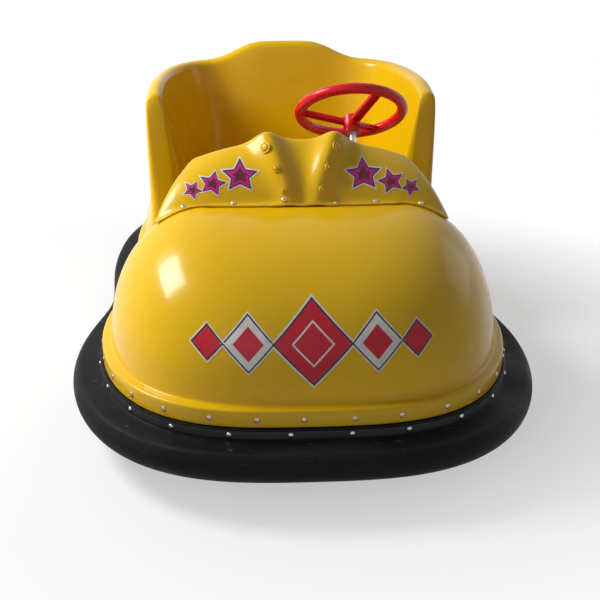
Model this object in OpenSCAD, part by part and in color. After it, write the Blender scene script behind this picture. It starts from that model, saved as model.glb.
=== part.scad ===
// A two-seat bumper car for a fairground floor: a steel frame with a perimeter channel, a rubber ring
// round it, glass-fibre body mouldings on top, one steered driving wheel in front and two free wheels behind.
// The front of the car looks along -Y, the driver sits on the +X side, and Z is up from the floor.
// All sizes are in millimetres.

/* [Overall] */
// Length over the rubber ring
car_len = 1955; // [1820:5:2080]
// Width over the rubber ring at the nose
nose_w = 1240; // [1200:5:1290]
// Width over the rubber ring at the tail
tail_w = 1180; // [1140:5:1220]

/* [Plan shape] */
// Squareness of the nose in plan
nose_power = 3.2; // [3:0.1:3.5]
// Squareness of the tail in plan
tail_power = 4.6; // [4:0.1:5.2]
// How far the sides draw in at the waist
waist_in = 55; // [20:5:70]
// Where the waist is narrowest
waist_y = -40; // [-100:10:40]
// How far the waist reaches fore and aft
waist_reach = 280; // [220:10:340]

/* [Bumper ring] */
// Height of the ring's underside above the floor
ring_bottom = 80; // [74:1:90]
// Height of the ring from its underside to the top of its lip
ring_h = 115; // [105:1:125]
// How far the rubber stands out from the steel channel
ring_out = 88; // [70:1:96]
// Thickness of the clamped lip
lip_t = 10; // [7:1:14]
// Height of the clamped lip above the groove
lip_h = 30; // [24:1:36]
// Width of the steel band that clamps the lip
band_w = 18; // [12:1:22]
// Thickness of that band
band_t = 2; // [1:0.5:3]

/* [Frame] */
// Height of the perimeter channel
channel_h = 136; // [130:1:145]
// Width of the channel's inward flanges
channel_flange = 40; // [30:1:45]
// Thickness of the channel's steel
channel_t = 4; // [3:0.5:6]
// Width of a frame tube
tube_w = 50; // [40:1:56]
// Height of a frame tube
tube_h = 60; // [50:1:62]
// Wall of a frame tube
tube_wall = 3; // [2:0.5:4]
// Distance of a long rail's middle from the car's middle
rail_x = 275; // [265:1:290]
// Half the length of a long rail, as a share of the channel's half length
rail_share = 0.89; // [0.86:0.01:0.9]
// Fore and aft place of the cross member under the bench's front
bench_cross_y = 330; // [320:5:345]
// Thickness of the floor sheet
floor_t = 6; // [3:0.5:8]
// Fore and aft place of the floor sheet's front edge
floor_front = -225; // [-235:5:-215]

/* [Body panels] */
// Thickness of a moulded panel
panel_t = 5; // [3:0.5:6]
// Height of the riveted flange
flange_h = 43; // [36:1:50]
// How far a panel steps in above the flange
step_in = 20; // [14:1:24]
// Height of the nose panel's crest line
crest_h = 585; // [545:5:615]
// Fore and aft place of the crest line
crest_y = -420; // [-440:5:-400]
// Share of the half width along which the crest stays level
crest_flat = 0.5; // [0.44:0.02:0.54]
// Height of the sill beside the cockpit
sill_h = 345; // [320:5:370]
// Width of the rounded sill
sill_w = 100; // [85:1:115]
// Fore and aft place of the seam between nose panel and rear shell
seam_y = -150; // [-165:5:-130]
// Width of that seam
seam_gap = 1.5; // [1:0.5:3]

/* [Cowl] */
// Height of the cowl's top edge at the middle
cowl_h = 728; // [705:1:745]
// How much lower its shoulders are
cowl_drop = 52; // [40:1:60]
// Half width at the shoulders
shoulder_x = 292; // [278:1:306]
// Half width at the cowl's foot
foot_x = 386; // [372:1:398]
// Lean of the cowl's rear edge from upright, in degrees
rim_lean = 16; // [12:1:20]
// Fore and aft place of that edge at the cowl's full height
rim_y = -292; // [-305:1:-280]
// Height of the two brow ridges at the top
brow_h = 38; // [24:1:44]
// Half the distance between the ridges at the top
brow_x = 92; // [80:1:104]
// Width of the lip that rolls over the cowl's top edge
cowl_lip = 26; // [18:1:32]
// Diameter of the largest brow stud
stud_d = 32; // [24:1:38]
// Fore and aft place where the cowl's flank ends
cowl_end_y = -195; // [-205:5:-190]

/* [Rear shell] */
// Width over the side wings
shell_w = 898; // [880:2:920]
// Distance of the shell's top from the car's middle at the back
shell_back = 757; // [735:1:780]
// Squareness of the shell's top in plan
shell_power = 4.2; // [3.6:0.1:4.6]
// Height of the side wings
wing_h = 780; // [750:5:800]
// Height that the middle of the back stands above the wings
lobe_h = 60; // [40:1:76]
// Half width of the level part of that lobe
lobe_x = 88; // [76:2:110]
// Length of the slope on each side of the lobe
lobe_slope = 170; // [140:5:190]
// Width of the rolled rim
rim_w = 56; // [44:1:62]
// How far the inner wall leans in from the rim to the seat
wall_lean = 60; // [40:1:75]
// How far the wing's foot stands in from the flange's step
wall_foot = 26; // [18:1:34]
// Fore and aft place where the wings start to rise
pillar_y = 120; // [100:5:140]
// Length over which they rise
pillar_len = 85; // [60:5:110]

/* [Seat] */
// Height of the bench
seat_h = 400; // [370:5:420]
// Fore and aft place of the bench's front face
seat_front = 285; // [275:5:310]
// Fall of the bench towards the back
seat_fall = 22; // [0:1:30]
// Radius of the bench's front edge
seat_round = 45; // [30:1:60]

/* [Cockpit] */
// Thickness of the dash panel
dash_t = 4; // [3:0.5:6]
// Height of the dash panel's lower edge
dash_low = 395; // [390:1:402]
// Fore and aft place of the toe board's top edge
toe_top_y = -225; // [-232:1:-218]
// Fore and aft place of the toe board's foot
toe_low_y = -262; // [-270:1:-250]
// Thickness of the toe board
toe_t = 4; // [3:0.5:6]
// How far the toe board ends inside the channel
toe_side = 158; // [152:1:175]

/* [Steering] */
// Outer diameter of the steering wheel
wheel_d = 326; // [300:1:340]
// Thickness of its grip
grip_d = 31; // [28:1:36]
// Distance of the wheel's centre from the car's middle
steer_x = 161; // [150:1:175]
// Fore and aft place of the wheel's centre
steer_y = -50; // [-60:1:-35]
// Height of the wheel's centre
steer_z = 750; // [740:1:765]
// Lean of the steering shaft from upright, in degrees
steer_lean = 38; // [36.5:0.5:41]
// Depth of the hub below the grip
hub_dish = 44; // [34:1:50]
// Diameter of the hub
hub_d = 50; // [44:1:56]
// Length of the hub
hub_len = 56; // [48:1:60]
// Width of a spoke
spoke_w = 28; // [24:1:32]
// Diameter of the steering shaft
shaft_d = 20; // [16:1:24]
// Length of the steering shaft below the hub
shaft_len = 330; // [310:5:345]
// Outer diameter of the column tube
column_d = 36; // [32:1:42]

/* [Driving wheel and its unit] */
// Fore and aft place of the unit's upright axis
drive_y = -500; // [-510:5:-495]
// Diameter of the driving wheel
drive_d = 200; // [190:2:210]
// Width of its tyre
drive_w = 50; // [44:1:54]
// Diameter of its rim
drive_rim_d = 130; // [116:2:140]
// Thickness of the fork plates
fork_t = 8; // [6:1:10]
// Width of a fork plate
fork_w = 90; // [76:2:100]
// Height of the fork's head plate above the floor
head_z = 300; // [290:1:310]
// Thickness of the head plate and of the fixed bearing plate
head_t = 10; // [8:1:12]
// Diameter of the head plate
head_d = 190; // [170:2:210]
// Diameter of the upright spindle
spindle_d = 40; // [34:1:46]
// Diameter of the motor
motor_d = 120; // [108:2:126]
// Length of the motor
motor_len = 126; // [110:2:132]
// Height of the motor's axis above the wheel's axis
motor_up = 98; // [92:1:104]
// Thickness of the gear case
case_t = 28; // [22:1:30]
// Teeth on the steering sprocket
sprocket_teeth = 26; // [20:1:32]
// Teeth on the small sprocket of the steering shaft
shaft_teeth = 13; // [11:1:15]
// Thickness of the sprockets
sprocket_t = 6; // [4:0.5:8]
// Chain pitch of the sprockets
chain_pitch = 12.7; // [9.5:0.1:14]

/* [Rear wheels] */
// Diameter of a rear wheel
rear_d = 150; // [140:2:156]
// Width of its tyre
rear_w = 40; // [32:1:46]
// Diameter of its rim
rear_rim_d = 96; // [84:2:106]
// Fore and aft place of the rear axle
rear_y = 500; // [470:5:520]
// Distance of a rear wheel's middle from the car's middle
rear_x = 365; // [355:1:375]
// Diameter of the axle
axle_d = 20; // [16:1:24]

/* [Small parts] */
// Width of the pedal's foot plate
pedal_w = 90; // [70:2:110]
// Length of the foot plate
pedal_len = 150; // [120:2:165]
// Length of the battery block across the car
battery_w = 420; // [360:5:460]
// Depth of the battery block fore and aft
battery_d = 240; // [200:5:250]
// Height of the battery block
battery_h = 170; // [140:5:180]
// Fore and aft place of the battery's middle
battery_y = 455; // [445:5:465]
// Height of the battery tray's walls
tray_h = 35; // [25:1:50]
// Thickness of the tray's sheet
tray_t = 3; // [2:0.5:4]
// Clearance round the battery in its tray
tray_gap = 2; // [1:0.5:4]
// Fore and aft place of the pedal's hinge end
pedal_y = -190; // [-195:1:-180]
// How far the pedal stands outboard of the steering shaft
pedal_side = 30; // [20:1:45]
// Rise of the pedal's foot plate, in degrees
pedal_lean = 35; // [32:1:38]

/* [Fits] */
// Gap between pieces that seat on each other
seat_gap = 0.3; // [0.2:0.1:0.5]
// Radial clearance of a shaft in its bearing
run_gap = 0.05; // [0.02:0.01:0.1]
// Gap beside a wheel that turns between fixed faces
side_gap = 6; // [5:0.5:8]

/* [Hidden] */

yellow = "#f0c020";
red = "#d01818";
rubber = "#202226";
steel = "#50545a";
bright = "#b8bcc0";
black = "#303236";

ring_top = ring_bottom + ring_h;
half_l = car_len / 2 - ring_out;
half_nose = nose_w / 2 - ring_out;
half_tail = tail_w / 2 - ring_out;
panel_u = panel_t + seat_gap;
flange_top = ring_top + flange_h;
dome_z = flange_top + 6;
channel_top = flange_top - panel_t - 1.5;
channel_bottom = channel_top - channel_h;
tube_top = channel_bottom + channel_t + seat_gap + tube_h;
floor_z = tube_top + seat_gap;
floor_top = floor_z + floor_t;
plan_step = 3.75;
deck_z = floor_top + seat_gap;

function unit(v) = v / norm(v);
function mix(a, b, f) = a + (b - a) * f;
function clamp01(f) = max(0, min(1, f));
function ease(f) = let (g = clamp01(f)) g * g * (3 - 2 * g);

// The mount line is the channel's outer face in plan, read by the angle from the nose towards +X
function waist(y) = waist_in * exp(-pow((y - waist_y) / waist_reach, 2));
function plan_raw(a) = let (
    power = cos(a) > 0 ? nose_power : tail_power,
    r = pow(pow(abs(cos(a)) / half_l, power) + pow(abs(sin(a)) / half_nose, power), -1 / power),
    y = -r * cos(a)
) [r * sin(a) - waist(y) * sin(a), y];
nose_fit = half_nose / max([for (a = [30:2:70]) plan_raw(a)[0]]);
tail_fit = half_tail / max([for (a = [110:2:150]) plan_raw(a)[0]]);
function plan(a) = let (p = plan_raw(a)) [p[0] * mix(nose_fit, tail_fit, ease(0.5 - cos(a))), p[1]];
function mount_normal(a) = let (t = unit(plan(a + 1) - plan(a - 1))) [t[1], -t[0]];
function mount(a, out) = plan(a) + out * mount_normal(a);
half_table = [for (a = [0:3:180]) [plan(a)[1], plan(a)[0]]];
angle_table = [for (a = [0:3:180]) [plan(a)[1], a]];
function half_at(y) = lookup(y, half_table);
function angle_at(y) = lookup(y, angle_table);

// Solids lofted through sections: the faces run clockwise seen from outside
function quad(a, b, c, d) = [[a, b, c], [a, c, d]];
function strip_faces(rows, cols, base, back, round) = [
    for (i = [0:rows - 2], j = [0:(round ? cols - 1 : cols - 2)])
        let (
            j2 = (j + 1) % cols,
            p = base + i * cols + j, q = base + i * cols + j2,
            r = base + (i + 1) * cols + j2, s = base + (i + 1) * cols + j
        )
        each (back ? quad(p, s, r, q) : quad(p, q, r, s))
];
module loft(rings, closed) {
    rows = len(rings);
    cols = len(rings[0]);
    points = [for (ring = rings, p = ring) p];
    last = (rows - 1) * cols;
    joint = [for (j = [0:cols - 1]) each quad(last + j, last + (j + 1) % cols, (j + 1) % cols, j)];
    caps = [[for (j = [cols - 1:-1:0]) j], [for (j = [0:cols - 1]) last + j]];
    polyhedron(points, concat(strip_faces(rows, cols, 0, false, true), closed ? joint : caps));
}
function grid_normal(grid, i, j) = let (
    n = len(grid) - 1, m = len(grid[0]) - 1,
    du = grid[min(i + 1, n)][j] - grid[max(i - 1, 0)][j],
    dv = grid[i][min(j + 1, m)] - grid[i][max(j - 1, 0)]
) unit(cross(du, dv));
module thin_panel(grid, t) {
    rows = len(grid);
    cols = len(grid[0]);
    count = rows * cols;
    inner = [for (i = [0:rows - 1], j = [0:cols - 1]) grid[i][j] - t * grid_normal(grid, i, j)];
    last = (rows - 1) * cols;
    top = cols - 1;
    low_edge = [for (i = [0:rows - 2]) each
        quad(i * cols, (i + 1) * cols, count + (i + 1) * cols, count + i * cols)];
    top_edge = [for (i = [0:rows - 2]) each
        quad(i * cols + top, count + i * cols + top, count + (i + 1) * cols + top, (i + 1) * cols + top)];
    first_edge = [for (j = [0:cols - 2]) each quad(j, count + j, count + j + 1, j + 1)];
    last_edge = [for (j = [0:cols - 2]) each
        quad(last + j, last + j + 1, count + last + j + 1, count + last + j)];
    polyhedron(
        concat([for (row = grid, p = row) p], inner),
        concat(strip_faces(rows, cols, 0, false, false), strip_faces(rows, cols, count, true, false),
            low_edge, top_edge, first_edge, last_edge)
    );
}
function at_z(p, z) = [p[0], p[1], z];

// Nose panel: a rounded snout up to the level crest, with cheeks that run back and fall to the sill
function cheek(y) = ease((y - crest_y) / (seam_y - crest_y));
function nose_point(a, t) = let (
    b = mount(a, -step_in),
    e = cheek(b[1]),
    c = mix([crest_flat * b[0], max(b[1], crest_y)], mount(a, -step_in - sill_w), e),
    top = mix(crest_h, sill_h, e),
    p = mix(c, b, cos(t))
) at_z(p, mix(dome_z, top, sin(t)));
function nose_normal(a, t) = unit(cross(
    nose_point(a + 0.5, t) - nose_point(a - 0.5, t),
    nose_point(a, min(t + 1, 90)) - nose_point(a, t - 1)
));
function flange_row(a) = [
    at_z(mount(a, panel_u), ring_top + seat_gap),
    at_z(mount(a, panel_u), flange_top - 4),
    at_z(mount(a, panel_u - 3), flange_top + 1),
    at_z(mount(a, 3 - step_in), flange_top + 2.5)
];
seam_a = angle_at(seam_y);
seam_step = floor(seam_a / plan_step);
nose_angles = concat([-seam_a], [for (i = [-seam_step:seam_step]) i * plan_step], [seam_a]);
nose_grid = [for (a = nose_angles) concat(flange_row(a), [for (t = [0:9:90]) nose_point(a, t)])];

// Cowl: a foot line on the nose panel, and a top edge that lies in one leaning plane
crest_a = angle_at(crest_y + 1);
function rim_plane(z) = rim_y + (cowl_h - z) * tan(rim_lean);
crest_half = crest_flat * mount(crest_a, -step_in)[0];
arch_w = mount(crest_a, -step_in)[0] - crest_half;
foot_t = acos((foot_x - crest_half) / arch_w);
cowl_end_a = angle_at(cowl_end_y);
crest_rows = 18;
arch_rows = 5;
flank_rows = 7;
cowl_rows = crest_rows + arch_rows + flank_rows;
// Each foot place is [angle round the plan, angle up the panel, sideways share, upward share of the flange]
function cowl_foot(k) =
    k <= crest_rows ? let (f = k / crest_rows) [lookup(f * crest_half, [for (a = [0:2:60])
        [crest_flat * mount(a, -step_in)[0], min(a, crest_a)]]), 90, 0, 1]
    : k <= crest_rows + arch_rows
        ? let (f = (k - crest_rows) / arch_rows) [crest_a, mix(90, foot_t, f), 1, 0]
    : let (f = (k - crest_rows - arch_rows) / flank_rows)
        [mix(crest_a, cowl_end_a, f), mix(foot_t, 84, f), 1 - f, f];
function lifted(a, t, more = 0) = nose_point(a, t) + (panel_u + more) * nose_normal(a, t);
// The flange stands off a little more along the flanks, where the panel below bends both ways
function flank_gap(k) = 1.4 * clamp01((k - crest_rows - arch_rows) / flank_rows);
function foot_at(k) = let (f = cowl_foot(k)) lifted(f[0], f[1], flank_gap(k));
function brow(x, v) = let (
    centre = mix(0.38, 1, pow(v, 1.2)) * brow_x,
    spread = mix(24, 40, v)
) brow_h * mix(0.4, 1, v) * exp(-pow((abs(x) - centre) / spread, 2));
function cowl_top(k) = let (foot = foot_at(k))
    k <= crest_rows + arch_rows
        ? let (x = foot[0] * shoulder_x / foot_x, z = cowl_h - cowl_drop * pow(x / shoulder_x, 2))
            [x, rim_plane(z), z]
        : let (
            f = (k - crest_rows - arch_rows) / flank_rows,
            z = mix(cowl_h - cowl_drop, sill_h + 40, f),
            x = mix(shoulder_x, lifted(cowl_end_a, 84)[0] - 6, pow(f, 0.8))
        ) [x, rim_plane(z), z];
function cowl_point(k, v) = let (
    foot = foot_at(k),
    top = cowl_top(k),
    p = mix(foot, top, v),
    swell = 16 * sin(180 * v)
) p + [swell * 0.3 * p[0] / shoulder_x, -0.6 * swell, 0.6 * swell] + brow(p[0], v) * [0, -0.55, 0.83];
function cowl_row(k) = let (
    f = cowl_foot(k),
    top = cowl_point(k, 1),
    turn = 90 * ease((k - crest_rows) / (arch_rows + 1)),
    inward = [-sin(turn), cos(turn), 0],
    down = cos(turn)
) concat(
    [lifted(f[0] - 1.6 * f[2], f[1] - 1.8 * f[3], flank_gap(k))],
    [for (v = [0:0.125:1]) cowl_point(k, v)],
    [top + 0.45 * cowl_lip * inward - [0, 0, 1 * down], top + 0.85 * cowl_lip * inward - [0, 0, 7 * down],
        top + cowl_lip * inward - [0, 0, 16 * down]]
);
function flip_x(p) = [-p[0], p[1], p[2]];
cowl_grid = concat(
    [for (k = [cowl_rows:-1:1]) [for (p = cowl_row(k)) flip_x(p)]],
    [for (k = [0:cowl_rows]) cowl_row(k)]
);

// Rear shell: the sill's section turns into the wall's section where the wings rise
function shell_top(a) = let (
    r = pow(pow(abs(cos(a)) / shell_back, shell_power) + pow(abs(sin(a)) / (shell_w / 2), shell_power),
        -1 / shell_power)
) [r * sin(a), -r * cos(a)];
function shell_inward(a) = let (t = unit(shell_top(a + 1) - shell_top(a - 1))) [-t[1], t[0]];
function wing(a) = ease((plan(a)[1] - pillar_y) / pillar_len);
function lobe(a) = lobe_h * (1 - ease((abs(shell_top(a)[0]) - lobe_x) / lobe_slope))
    * ease((plan(a)[1] - 400) / 200);
function wall_top(a) = wing_h + lobe(a) - 25 * (1 - ease((plan(a)[1] - pillar_y) / 260));
function inner_low(a, gap) = shell_top(a) + (rim_w + wall_lean + gap) * shell_inward(a);
wall_z = sill_h + 20;
lean_z = seat_h + 45;
function sill_section(a) = let (b = mount(a, -step_in), c = mount(a, -step_in - sill_w)) concat(
    [for (t = [0:11.25:90]) at_z(mix(c, b, cos(t)), mix(dome_z, sill_h, sin(t)))],
    [for (p = [[6, sill_h - 1.5], [10, sill_h - 6], [12, sill_h - 20], [12, sill_h - 70], [12, deck_z]])
        at_z(mount(a, -step_in - sill_w - p[0]), p[1])]
);
function wall_section(a) = let (
    b = mount(a, -step_in), w0 = mount(a, -step_in - wall_foot),
    w1 = shell_top(a), inward = shell_inward(a), zt = wall_top(a), r = rim_w / 2
) concat(
    [at_z(b, dome_z), at_z(mix(w0, b, cos(38)), mix(dome_z, wall_z, sin(38))),
        at_z(mix(w0, b, cos(72)), mix(dome_z, wall_z, sin(72))), at_z(mix(w0, w1, 0.12), wall_z + 20),
        at_z(mix(w0, w1, 0.72), mix(wall_z, zt, 0.5))],
    [for (t = [0:36:180]) at_z(w1 + r * (1 - cos(t)) * inward, zt - r + r * sin(t))],
    [at_z(w1 + (rim_w + wall_lean * 0.45) * inward, mix(lean_z, zt, 0.5)),
        at_z(w1 + (rim_w + wall_lean) * inward, lean_z), at_z(w1 + (rim_w + wall_lean) * inward, deck_z)]
);
function shell_ring(a) = let (
    w = wing(a), s = sill_section(a), v = wall_section(a),
    inner = channel_flange + channel_t + seat_gap
) concat(
    flange_row(a),
    [for (j = [0:len(s) - 1]) mix(s[j], v[j], w)],
    [at_z(mount(a, -inner), deck_z), at_z(mount(a, -inner), channel_top + seat_gap),
        at_z(mount(a, seat_gap), channel_top + seat_gap), at_z(mount(a, seat_gap), ring_top + seat_gap)]
);
rise_from = angle_at(pillar_y) - plan_step;
rise_to = angle_at(pillar_y + pillar_len);
function finer(a) = a > rise_from && a < rise_to ? [a, a + plan_step / 3, a + plan_step * 2 / 3] : [a];
shell_first = angle_at(seam_y + seam_gap);
shell_from = (floor(shell_first / plan_step) + 1) * plan_step;
half_angles = concat([shell_first], [for (a = [shell_from:plan_step:179]) each finer(a)]);
shell_angles = concat(half_angles, [180], [for (i = [len(half_angles) - 1:-1:0]) 360 - half_angles[i]]);

// Steering: everything on the shaft is placed by its distance along the shaft, up from the grip's plane
module on_shaft(up) {
    translate([steer_x, steer_y, steer_z]) rotate([-steer_lean, 0, 0]) translate([0, 0, up]) children();
}
hub_low = -hub_dish - hub_len / 2;
shaft_low = hub_low - shaft_len;
wheel_side = drive_w / 2 + side_gap;
bearing_z = head_z + head_t + seat_gap;
post_x = rail_x;
post_y = 130;
tube_z = tube_top - tube_h;
function pitch_r(teeth) = chain_pitch / (2 * sin(180 / teeth));

// A closed outline in plan at a distance from the mount line
function outline(out) = [for (a = [0:plan_step:360 - plan_step]) mount(a, out)];

hole_w = tube_w - 2 * tube_wall;
hole_h = tube_h - 2 * tube_wall;

module tube_y(x, y0, y1) {
    translate([x - tube_w / 2, y0, tube_z]) difference() {
        cube([tube_w, y1 - y0, tube_h]);
        translate([tube_wall, -1, tube_wall]) cube([hole_w, y1 - y0 + 2, hole_h]);
    }
}

module tube_x(y, x0, x1) {
    translate([x0, y - tube_w / 2, tube_z]) difference() {
        cube([x1 - x0, tube_w, tube_h]);
        translate([-1, tube_wall, tube_wall]) cube([x1 - x0 + 2, hole_w, hole_h]);
    }
}

rail_end = rail_share * half_l;
cross_places = [tube_w / 2 - rail_end, floor_front - tube_w / 2, bench_cross_y, rail_end - tube_w / 2];

module frame_rails() {
    color(steel) for (x = [-rail_x, rail_x]) tube_y(x, -rail_end, rail_end);
}

module cross_members() {
    color(steel) for (y = cross_places) {
        inner = rail_x - tube_w / 2 - seat_gap;
        outer = rail_x + tube_w / 2 + seat_gap;
        reach = min(half_at(y - tube_w / 2), half_at(y + tube_w / 2)) - channel_t - 4;
        tube_x(y, -inner, inner);
        if (reach - outer > 20) {
            tube_x(y, outer, reach);
            tube_x(y, -reach, -outer);
        }
    }
}

module perimeter_channel() {
    color(steel) difference() {
        translate([0, 0, channel_bottom]) linear_extrude(channel_h) polygon(outline(0));
        translate([0, 0, channel_bottom + channel_t]) linear_extrude(channel_h - 2 * channel_t)
            polygon(outline(-channel_t));
        translate([0, 0, channel_bottom - 1]) linear_extrude(channel_h + 2)
            polygon(outline(-channel_flange));
    }
}

// The ring's section: a flat lip, a groove under it and a fat rounded tube below, [out, height]
groove_z = ring_top - lip_h;
bulge_h = (groove_z - ring_bottom) / 2 + 4;
bulge_r = 0.52 * ring_out;
ring_section = concat(
    [[seat_gap, ring_bottom + 12], [seat_gap + 8, ring_bottom + 3]],
    [for (t = [-75:25:50])
        [ring_out - bulge_r + bulge_r * cos(t), ring_bottom + bulge_h + bulge_h * sin(t)]],
    [[lip_t + 8, groove_z - 2], [lip_t, groove_z + 3], [lip_t, ring_top - 1], [seat_gap, ring_top - 1]]
);

module bumper_ring() {
    color(rubber)
        loft([for (a = [0:plan_step:360 - plan_step])
            [for (p = ring_section) at_z(mount(a, p[0]), p[1])]], true);
}

module clamp_band() {
    color(black) translate([0, 0, groove_z + (lip_h - band_w) / 2]) linear_extrude(band_w) difference() {
        polygon(outline(lip_t + seat_gap + band_t));
        polygon(outline(lip_t + seat_gap));
    }
}

module floor_sheet() {
    inset = channel_flange + channel_t + 2;
    color(steel) translate([0, 0, floor_z]) linear_extrude(floor_t) intersection() {
        polygon(outline(-inset));
        translate([-half_nose, floor_front]) square([2 * half_nose, half_l - floor_front]);
    }
}

module nose_panel() {
    color(yellow) thin_panel(nose_grid, panel_t);
}

module cowl() {
    color(yellow) thin_panel(cowl_grid, panel_t);
}

// Round studs along each brow: [row of the cowl, height up the cowl, diameter share]
stud_places = [[8.1, 0.76, 1], [5.4, 0.43, 0.75], [3.7, 0.13, 0.66]];
module brow_stud(p, n, d) {
    translate(p) rotate([0, acos(n[2]), atan2(n[1], n[0])]) translate([0, 0, seat_gap]) rotate_extrude()
        polygon([[0, 0], [d / 2, 0], [d / 2 - 1, 2.5], [d / 2 - 3.5, 2.5],
            [d / 2 - 4.5, 1.5], [d / 4, 5], [0, 6.5]]);
}

module brow_studs() {
    color(yellow) for (s = stud_places) {
        p = cowl_point(s[0], s[1]);
        n = unit(cross(cowl_point(s[0] + 0.4, s[1]) - cowl_point(s[0] - 0.4, s[1]),
            cowl_point(s[0], s[1] + 0.04) - cowl_point(s[0], s[1] - 0.04)));
        brow_stud(p, n, stud_d * s[2]);
        brow_stud(flip_x(p), flip_x(n), stud_d * s[2]);
    }
}

module rear_shell() {
    color(yellow) loft([for (a = shell_angles) shell_ring(a)], false);
}

// The bench: a bent panel, its ends and back shaped to the shell's inner wall
bench_angles = [for (a = shell_angles) if (a > 100 && a < 260) a];
bench_bend = [seat_front + seat_round, seat_h - seat_round];
bench_run = shell_back - bench_bend[0];
bench_slope = atan(seat_fall / bench_run);
bend_steps = 8;
function bench_line(r) = concat(
    [[bench_bend[0] - r, deck_z]],
    [for (i = [0:bend_steps]) let (g = mix(180, 90 - bench_slope, i / bend_steps))
        bench_bend + r * [cos(g), sin(g)]],
    [bench_bend + r * [sin(bench_slope), cos(bench_slope)]
        + bench_run * [cos(bench_slope), -sin(bench_slope)]]
);
module seat_bench() {
    under = bench_line(seat_round - panel_t - 1);
    section = concat(bench_line(seat_round), [for (i = [len(under) - 1:-1:0]) under[i]]);
    color(yellow) intersection() {
        translate([0, 0, deck_z]) linear_extrude(seat_h)
            polygon([for (a = bench_angles) inner_low(a, seat_gap)]);
        translate([-shell_w / 2, 0, 0]) rotate([90, 0, 90]) linear_extrude(shell_w) polygon(section);
    }
}

module battery_block() {
    color(black) translate([-battery_w / 2, battery_y - battery_d / 2, deck_z + tray_t + seat_gap])
        cube([battery_w, battery_d, battery_h]);
}

module battery_tray() {
    wall = tray_t + tray_gap;
    color(steel) translate([-battery_w / 2 - wall, battery_y - battery_d / 2 - wall, deck_z]) difference() {
        cube([battery_w + 2 * wall, battery_d + 2 * wall, tray_h]);
        translate([tray_t, tray_t, tray_t])
            cube([battery_w + 2 * tray_gap, battery_d + 2 * tray_gap, tray_h]);
    }
}

// The dash panel closes the cowl from behind, set into its rolled rim
flank_table = [for (k = [cowl_rows:-1:crest_rows + arch_rows]) [cowl_top(k)[2], cowl_top(k)[0]]];
function dash_half(z) = lookup(z, flank_table) - 2 * panel_t;
function up_dash(z) = (z - dash_low) / cos(rim_lean);
module dash_panel() {
    side_top = cowl_h - cowl_drop - cowl_lip - 8;
    top = cowl_h - 24;
    side = [for (f = [0:0.25:1]) let (z = mix(dash_low, side_top, f)) [dash_half(z), up_dash(z)]];
    color(yellow) difference() {
        translate([0, rim_plane(dash_low) - panel_u / cos(rim_lean), dash_low])
            rotate([90 + rim_lean, 0, 0]) linear_extrude(dash_t) polygon(concat(side,
                [[1.3 * brow_x, up_dash(top)], [-1.3 * brow_x, up_dash(top)]],
                [for (i = [4:-1:0]) [-side[i][0], side[i][1]]]));
        on_shaft(shaft_low) cylinder(d = column_d + 2 * seat_gap, h = shaft_len, $fn = 48);
    }
}

module toe_board() {
    half = half_at(toe_low_y) - toe_side;
    top = dash_low - 12;
    color(steel) translate([-half, 0, 0]) rotate([90, 0, 90]) linear_extrude(2 * half)
        polygon([[toe_low_y, floor_z], [toe_low_y + toe_t, floor_z],
            [toe_top_y + toe_t, top], [toe_top_y, top]]);
}

// The column tube: a flanged sleeve bolted to the dash panel, which carries the shaft
function dash_up() = let (
    k = tan(rim_lean),
    s = (steer_y - (rim_y + (cowl_h - steer_z) * k)) / (sin(steer_lean) + k * cos(steer_lean))
) -s;
column_top = dash_up() + 46;
column_low = shaft_low + 34;
module column_tube() {
    bore = shaft_d + 2 * run_gap;
    color(steel) on_shaft(0) difference() {
        union() {
            translate([0, 0, column_low]) cylinder(d = column_d, h = column_top - column_low, $fn = 48);
            translate([0, 0, column_top - 6]) cylinder(d = column_d + 14, h = 6, $fn = 48);
        }
        translate([0, 0, column_low - 1]) cylinder(d = bore, h = column_top - column_low + 2, $fn = 48);
    }
}

module pedal() {
    color(black) translate([steer_x + pedal_side, pedal_y, floor_top + 22]) rotate([pedal_lean, 0, 0])
        difference() {
        translate([-pedal_w / 2, 0, 0]) cube([pedal_w, pedal_len, 6]);
        for (i = [1:6]) translate([-pedal_w / 2 + 10, i * pedal_len / 7 - 3, 3]) cube([pedal_w - 20, 6, 4]);
    }
}

module pedal_bracket() {
    color(steel) translate([steer_x + pedal_side - 20, pedal_y, deck_z]) rotate([90, 0, 90])
        linear_extrude(40) polygon([[0, 0], [110, 0], [110, 60], [0, 21]]);
}

// The fixed bearing plate holds the spindle of the driving unit above the wheel
module bearing_plate() {
    w = 2 * post_x + tube_w;
    d = 2 * post_y + tube_w;
    color(steel) difference() {
        translate([-w / 2, drive_y - d / 2, bearing_z]) cube([w, d, head_t]);
        translate([0, drive_y, bearing_z - 1])
            cylinder(d = spindle_d + 2 * run_gap, h = head_t + 2, $fn = 64);
    }
}

module bearing_posts() {
    h = bearing_z - tube_top - 2 * seat_gap;
    color(steel) for (x = [-post_x, post_x], y = [-post_y, post_y])
        translate([x - tube_w / 2, drive_y + y - tube_w / 2, tube_top + seat_gap]) difference() {
            cube([tube_w, tube_w, h]);
            translate([tube_wall, tube_wall, -1]) cube([hole_w, hole_w, h + 2]);
        }
}

axle_half = rear_x + rear_w / 2 + 16;
module rear_axle() {
    color(bright) translate([-axle_half, rear_y, rear_d / 2]) rotate([0, 90, 0])
        cylinder(d = axle_d, h = 2 * axle_half, $fn = 48);
    color(bright) for (s = [-1, 1])
        translate([s * (rear_x + rear_w / 2 + 9), rear_y, rear_d / 2]) rotate([0, 90 * s, 0])
            cylinder(d = axle_d + 14, h = 8, $fn = 48);
}

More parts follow.
